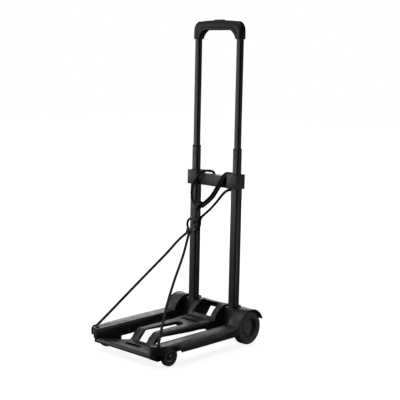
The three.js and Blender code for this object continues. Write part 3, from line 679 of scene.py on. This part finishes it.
def quarter(cx, cz, rx, rz, steps, flat=1.0):
    """A quarter of an ellipse from its side to its top; flat above 1 pulls it in towards a chamfer."""
    points = []
    for i in range(steps + 1):
        turn = math.pi / 2 * i / steps
        across = max(math.cos(turn), 0.0) ** flat
        rise = max(math.sin(turn), 0.0) ** flat
        points.append((cx + rx * across, cz + rz * rise))
    return points


def plate(right, depth, edge_mm, segments=5):
    """A slab across Y with rounded edges, from one half of its outline.

    The half runs from the middle plane back to the middle plane as (x, z, weight). A weight of 1 gives
    the front and back edges the full rounding, and a stretch takes the lower weight of its two ends.
    """
    outline = right + [(-x, z, weight) for x, z, weight in right[::-1]]
    half = depth / 2
    count = len(outline)
    front = [place((x, -half, z)) for x, z, _ in outline]
    back = [place((x, half, z)) for x, z, _ in outline]
    faces = [tuple(range(count)), tuple(range(2 * count - 1, count - 1, -1))]
    weight_of = {}
    for i in range(count):
        j = (i + 1) % count
        faces.append((j, i, count + i, count + j))
        weight = min(outline[i][2], outline[j][2])
        weight_of[frozenset((i, j))] = weight
        weight_of[frozenset((count + i, count + j))] = weight
    mesh = mesh_of(front + back, faces)
    mesh.update(calc_edges=True)
    layer = mesh.attributes.new("bevel_weight_edge", "FLOAT", "EDGE")
    for edge in mesh.edges:
        layer.data[edge.index].value = weight_of.get(frozenset(edge.vertices), 0.0)
    return modified(
        mesh, "BEVEL", width=edge_mm * MM, segments=segments, limit_method="WEIGHT",
        use_clamp_overlap=False, profile=0.5,
    )


def block(x0, x1, y0, y1, z0, z1):
    """A plain box, used only to cut with."""
    rings = [[place((x, y, z)) for x, y in ((x0, y0), (x1, y0), (x1, y1), (x0, y1))] for z in (z0, z1)]
    return mesh_of(*loft(rings, caps=True))


def hollowed(mesh, cutters):
    for cutter in cutters:
        mesh = without(mesh, cutter)
    return mesh


def weighted(points, weight):
    return [(x, z, weight) for x, z in points]


def make_grip():
    leg_top = GRIP_BOTTOM + 3
    under = quarter(
        UNDER_FROM, leg_top, GRIP_LEG_INNER - UNDER_FROM, GRIP_UNDER - leg_top, 12, UNDER_FLAT
    )
    seam_foot = GRIP_UNDER - 12
    seam = quarter(
        UNDER_FROM, seam_foot, LINER_HALF - UNDER_FROM, GRIP_UNDER + LINER_THICK - seam_foot, 14, 1.15
    )
    outer = quarter(GRIP_HALF - 24, GRIP_SHOULDER - 26, 24, 26, 14)
    # The upper shell runs down beside the seam to the leg's foot, and back round the outside.
    aside = SEAM_GAP * 0.7
    upper = weighted([(x + aside, z + SEAM_GAP) for x, z in seam[::-1]], 0.08)
    upper += [(LINER_HALF + aside, GRIP_BOTTOM, 0.08), (GRIP_HALF, GRIP_BOTTOM, 1.0)]
    upper += weighted(outer[:-2], 1.0) + weighted(GRIP_TOP, 1.0)
    sockets = [block(x - 10.1, x + 10.1, -8.7, 8.7, 910, 950) for x in (-TUBE_X, TUBE_X)]
    cavity = [
        block(-80, 80, -9.5, 9.5, 946, 965.5),
        block(-90, 90, -9.4, 9.4, 946.2, 955),
        block(-19.0, 19.0, -8.5, 8.5, 960, 990),
    ]
    finish_piece(
        "grip_upper_rounded", hollowed(plate(upper, GRIP_DEPTH, 7.5, 7), sockets + cavity), GRIP_MOULD,
        "upper_stage", "grip_upper_shell", 40,
    )
    # The lower shell runs out along the underside, down the leg, and back up beside the seam.
    lower = weighted(under[::-1], 0.7)
    lower += [(GRIP_LEG_INNER, GRIP_BOTTOM, 0.7), (LINER_HALF, GRIP_BOTTOM, 0.12)]
    lower += weighted(seam, 0.12)
    cavity = [block(-76, 76, -9.5, 9.5, 946, 970)]
    finish_piece(
        "grip_lower_rounded", hollowed(plate(lower, GRIP_DEPTH, 4.0), sockets + cavity), GRIP_MOULD,
        "upper_stage", "grip_lower_shell", 40,
    )


BUTTON = (37.0, 16.0, 5.0)  # width, depth and corner radius


def make_button():
    rings = []
    for z, grow in ((961.3, 0), (972.6, 0), (973.6, -0.4), (974.3, -1.2), (974.6, -2.4)):
        rings.append([place((x, y, z)) for x, y in tube_outline(*BUTTON, grow=grow)])
    crown = tube_outline(*BUTTON, grow=-4.6)
    rings.append([place((x * 0.9, y * 0.6, 974.45)) for x, y in crown])
    mesh = mesh_of(*loft(rings, caps=True))
    finish_piece(
        "release_button_crowned", mesh, BUTTON_MOULD, "release", "release_button", 40
    )


make_grip()
make_button()

# ---- Wheels --------------------------------------------------------------------------------------


def tyre_profile(radius, seat, inner, outer, edge, groove_at, groove):
    """A closed (radius, x) profile: bead rings on both faces and grooves round the tread."""
    face = [
        (seat, outer - edge), (seat + 0.5, outer - 0.4), (seat + 1.6, outer), (seat + 4.2, outer),
        (seat + 4.8, outer - 0.7), (radius - 3.2 * edge, outer - 0.7),
        (radius - 2.6 * edge, outer - 0.1),
        (radius - 1.5 * edge, outer - 0.25 * edge), (radius - 0.6 * edge, outer - 0.8 * edge),
        (radius - 0.1 * edge, outer - 1.6 * edge), (radius, outer - 2.4 * edge),
    ]
    middle = (inner + outer) / 2
    profile = list(face)
    for at in groove_at:
        for share, depth in ((1.0, 0.0), (0.7, groove), (-0.7, groove), (-1.0, 0.0)):
            profile.append((radius - depth, middle + at + groove * share))
    profile += [(r, inner + outer - x) for r, x in face[::-1]]
    return profile


REAR_AT = (0.0, AXLE_Z)  # y and z of the axle
FRONT_AT = (-325.5, 27.2)  # y and z of the front pins


def make_rear_wheels():
    tyre = lathe(tyre_profile(50.0, 35.4, 126.0, 152.5, 2.0, (6.0, 0.0, -6.0), 0.7), *REAR_AT)
    add_sides("rear_tyre_grooved", tyre, RUBBER, "rear_wheel_{side}", "rear_tyre", 28)
    rim = lathe([
        (4.3, 115.5), (10.0, 115.5), (10.0, 133.5), (31.1, 133.5), (31.1, 127.4), (31.7, 127.0),
        (34.6, 127.0), (35.1, 127.5), (35.1, 151.0), (34.7, 151.5), (33.4, 151.7), (32.3, 151.3),
        (31.4, 150.2), (30.4, 138.6), (29.6, 137.6), (9.0, 137.5), (9.0, 134.3), (4.3, 134.3),
    ], *REAR_AT)
    stud = lathe([
        (0.01, 137.0), (2.4, 137.0), (2.4, 138.6), (1.9, 139.2), (1.0, 139.5), (0.01, 139.5),
    ], REAR_AT[0] - 2.0, REAR_AT[1] - 25.5, 24)
    rim = joined([rim, stud])
    add_sides("rear_rim_dished", rim, WHEEL_MOULD, "rear_wheel_{side}", "rear_rim", 32)
    cap = lathe([
        (0.01, 139.4), (8.7, 139.4), (8.7, 137.8), (18.7, 137.8), (19.2, 138.3), (19.2, 141.6),
        (18.8, 142.6), (17.9, 143.3), (16.6, 143.5), (14.4, 143.5), (13.8, 143.1), (13.2, 142.9),
        (6.0, 143.1), (0.01, 143.2),
    ], *REAR_AT)
    add_sides(
        "rear_hub_cap_stepped", cap, WHEEL_MOULD, "rear_wheel_{side}", "rear_hub_cap", 32
    )


def make_front_wheels():
    tyre = lathe(tyre_profile(27.2, 19.2, 122.8, 138.3, 1.4, (0.0,), 0.5), *FRONT_AT, 80)
    add_sides("front_tyre_grooved", tyre, RUBBER, "front_wheel_{side}", "front_tyre", 28)
    rim = lathe([
        (3.3, 122.3), (7.0, 122.3), (7.0, 125.8), (15.9, 125.8), (15.9, 123.9), (16.3, 123.6),
        (18.5, 123.6), (18.9, 124.0), (18.9, 136.9), (18.5, 137.4), (17.2, 137.5), (16.5, 137.1),
        (15.5, 133.6), (15.0, 133.3), (9.3, 133.3), (9.0, 133.6), (8.9, 136.4), (8.6, 136.8),
        (7.7, 137.2), (7.4, 136.9), (7.4, 133.8), (3.3, 133.8),
    ], *FRONT_AT, 80)
    add_sides(
        "front_rim_dished", rim, WHEEL_MOULD, "front_wheel_{side}", "front_rim", 32
    )
    pin = lathe([
        (0.01, 112.5), (3.0, 112.5), (3.0, 134.2), (6.1, 134.2), (6.5, 134.6), (6.5, 135.6),
        (6.0, 136.3), (5.0, 136.8), (3.0, 137.2), (0.01, 137.3),
    ], *FRONT_AT, 48)
    add_sides("front_pin_turned", pin, STEEL, "platform", "front_axle_pin", 40)


make_rear_wheels()
make_front_wheels()

# ---- Platform mouldings ----------------------------------------------------------------------------

DECK_TOP, HOOD_RADIUS, FENDER_RADIUS = 65.5, 57.0, 59.0
GROOVE_WIDTH, GROOVE_DEPTH = 2.4, 1.4
SKIRT_WALL = 1.2
SLOT_END_STEPS, HOOD_STEPS = 12, 32


def moulded_copy(node, width_mm, extras=(), cuts=()):
    """The CAD solid with its flat faces rejoined, its edges rounded, and small detail cut or added."""
    source = frame["nodes"][node]
    bm = bmesh.new()
    bm.from_mesh(source.data)
    bmesh.ops.remove_doubles(bm, verts=bm.verts, dist=2e-6)
    bmesh.ops.dissolve_limit(
        bm, angle_limit=math.radians(0.8), verts=bm.verts, edges=bm.edges, use_dissolve_boundaries=False
    )
    mesh = bpy.data.meshes.new(node)
    bm.to_mesh(mesh)
    bm.free()
    mesh = modified(
        mesh, "BEVEL", width=width_mm * MM, segments=3, limit_method="ANGLE",
        angle_limit=math.radians(50), use_clamp_overlap=True, miter_outer="MITER_ARC",
    )
    for cut in cuts:
        mesh = without(mesh, cut)
    return joined([mesh, *extras])


def bead(points, radius, closed=False):
    """A raised round line along millimetre points."""
    vertices, faces, _ = tube_along([place(p) for p in points], radius * MM, 10, closed)
    return mesh_of(vertices, faces)


def stadium(half_length, y, half_width, z):
    """The outline of a slot with round ends, long in X."""
    straight = half_length - half_width
    points = []
    for side, start in ((1, -90), (-1, 90)):
        for i in range(SLOT_END_STEPS + 1):
            turn = math.radians(start + 180 * i / SLOT_END_STEPS)
            x = side * straight + half_width * math.cos(turn)
            points.append((x, y + half_width * math.sin(turn), z))
    return points


def slot_skirt(half_length, y, half_width, bottom, top):
    """A wall round a slot that runs down from the deck."""
    rings = []
    for grow, z in ((0.0, top), (0.0, bottom), (SKIRT_WALL, bottom), (SKIRT_WALL, top)):
        rings.append([place(p) for p in stadium(half_length + grow, y, half_width + grow, z)])
    return mesh_of(*loft(rings, closed=True))


def groove_cutter(x, start, end):
    """A bar that cuts a groove along the deck."""
    left, right = x - GROOVE_WIDTH / 2, x + GROOVE_WIDTH / 2
    floor, above = DECK_TOP - GROOVE_DEPTH, DECK_TOP + 1
    section = ((left, above), (left, floor), (right, floor), (right, above))
    rings = [[place((across, y, z)) for across, z in section] for y in (start, end)]
    return mesh_of(*loft(rings, caps=True))


def hood_line(x, start, end, radius):
    """An arc about the axle, in degrees up from the front."""
    points = []
    for i in range(HOOD_STEPS + 1):
        turn = math.radians(start + (end - start) * i / HOOD_STEPS)
        points.append((x, -radius * math.cos(turn), AXLE_Z + radius * math.sin(turn)))
    return points


def make_platform():
    tongue_extras = [
        slot_skirt(30, -342, 7, 26, 35.9),
        slot_skirt(35, -104, 6, 50, 65.4),
        bead(stadium(31, -342, 8, 36.1), 0.8, True),
        bead(stadium(36, -104, 7, 65.6), 0.8, True),
    ]
    for x in (-54.8, -38.8, 38.8, 54.8):
        tongue_extras.append(bead(hood_line(x, 17, 152, HOOD_RADIUS), 0.9))
    for x in (-44.6, -19.4, 19.4, 44.6):
        start = -118 if abs(x) > 30 else -162
        down_the_ramp = [(x, start, DECK_TOP), (x, -270, DECK_TOP), (x, -281, 63.1), (x, -300, 48.5)]
        tongue_extras.append(bead(down_the_ramp, 0.8))
    tongue = moulded_copy("tongue", 1.0, tongue_extras)
    finish_piece("tongue_moulded", tongue, DECK, "platform", "tongue", 40)
    bar_at = ((-380.3, 39.5), (-370.3, 37.3), (-382.9, 30.2))
    bar_lines = [bead([(-111, y, z), (111, y, z)], 0.8) for y, z in bar_at]
    crossbar = moulded_copy("crossbar", 0.9, bar_lines)
    finish_piece("crossbar_moulded", crossbar, DECK, "platform", "crossbar", 40)
    lips = [
        bead([(113.4, -376, 65.4), (113.4, -70, 65.4)], 1.0),
        bead(hood_line(113.2, 18, 152, FENDER_RADIUS), 0.9),
        bead(hood_line(155.8, 18, 154, FENDER_RADIUS), 0.9),
    ]
    arm = moulded_copy("arm_right", 1.6, lips, [groove_cutter(122.5, -352, -76)])
    add_sides("arm_moulded", arm, DECK, "platform", "arm", 40)
    foot = moulded_copy("foot_right", 1.2)
    add_sides("foot_moulded", foot, FRAME_MOULD, "mast", "foot", 40)
    bridge = moulded_copy("bridge", 1.6)
    finish_piece("bridge_moulded", bridge, FRAME_MOULD, "mast", "bridge", 40)


make_platform()

LOOK_OF_SLOT = {
    "tube_paint": PAINT, "deck_plastic": DECK, "frame_plastic": FRAME_MOULD, "grip_plastic": GRIP_MOULD,
    "button_plastic": BUTTON_MOULD, "wheel_plastic": WHEEL_MOULD, "hook_plastic": HOOK_MOULD,
    "tyre_rubber": RUBBER, "steel": STEEL, "cord_fabric": BRAID,
}
for row in frame["record"]["subparts"]:
    node = frame["nodes"][row["node"]]
    node.data.materials.clear()
    node.data.materials.append(LOOK_OF_SLOT[row["material_slot"]])

# ---- Studio --------------------------------------------------------------------------------------

FLOOR_GLOW = 0.86  # keeps the lit floor at white, with only the contact shadows showing
FLOOR_REACH = 9.0  # metres from the middle to each edge
AIM_HEIGHT = 0.35  # metres; every softbox faces this point above the middle


def add_floor():
    look = Look("floor", (0.35, 0.35, 0.35), 0.9, specular=0.0)
    look.shader.inputs["Emission Color"].default_value = (1.0, 1.0, 1.0, 1.0)
    look.shader.inputs["Emission Strength"].default_value = FLOOR_GLOW
    mesh = bpy.data.meshes.new("floor")
    corners = [(x * FLOOR_REACH, y * FLOOR_REACH, 0) for x, y in ((-1, -1), (1, -1), (1, 1), (-1, 1))]
    mesh.from_pydata(corners, [], [(0, 1, 2, 3)])
    mesh.materials.append(look.material)
    floor = bpy.data.objects.new("floor", mesh)
    floor.visible_glossy = False
    floor.visible_diffuse = False
    bpy.context.scene.collection.objects.link(floor)


def add_softbox(name, azimuth, distance, height, size, radiance):
    """A rectangular light that faces the mast; azimuth runs anticlockwise from +X, seen from above."""
    data = bpy.data.lights.new(name, "AREA")
    data.shape = "RECTANGLE"
    data.size, data.size_y = size
    data.energy = radiance * math.pi * size[0] * size[1]
    light = bpy.data.objects.new(name, data)
    bpy.context.scene.collection.objects.link(light)
    turn = math.radians(azimuth)
    light.location = (distance * math.cos(turn), distance * math.sin(turn), height)
    aim = Vector((0.0, 0.0, AIM_HEIGHT)) - light.location
    light.rotation_euler = aim.to_track_quat("-Z", "Y").to_euler()
    light.visible_camera = False


def add_overhead():
    """A wide soft light from above, the same all over the floor."""
    data = bpy.data.lights.new("overhead", "SUN")
    data.energy = 1.6
    data.angle = math.radians(70)
    light = bpy.data.objects.new("overhead", data)
    bpy.context.scene.collection.objects.link(light)
    light.rotation_euler = Vector((0.15, 0.25, -1.0)).to_track_quat("-Z", "Y").to_euler()


def add_world():
    """A white backdrop that lights the object only dimly."""
    world = bpy.data.worlds.new("studio")
    world.use_nodes = True
    tree = world.node_tree
    rays = tree.nodes.new("ShaderNodeLightPath")
    strength = tree.nodes.new("ShaderNodeMapRange")
    strength.inputs["To Min"].default_value = 0.04
    strength.inputs["To Max"].default_value = 1.0
    tree.links.new(rays.outputs["Is Camera Ray"], strength.inputs["Value"])
    background = tree.nodes["Background"]
    background.inputs["Color"].default_value = (1.0, 1.0, 1.0, 1.0)
    tree.links.new(strength.outputs["Result"], background.inputs["Strength"])
    bpy.context.scene.world = world


add_floor()
add_world()
add_overhead()
add_softbox("front_left", 232.0, 3.2, 0.42, (2.0, 1.36), 1.7)
add_softbox("strip", 208.0, 2.2, 0.7, (0.25, 1.5), 7.0)
add_softbox("behind", 134.0, 3.0, 0.8, (3.0, 1.4), 2.3)
add_softbox("right", 46.0, 3.0, 0.3, (2.0, 1.2), 0.35)
add_softbox("low_right", 20.0, 0.95, 0.14, (0.5, 0.2), 3.5)
bpy.context.scene.view_settings.view_transform = "Standard"
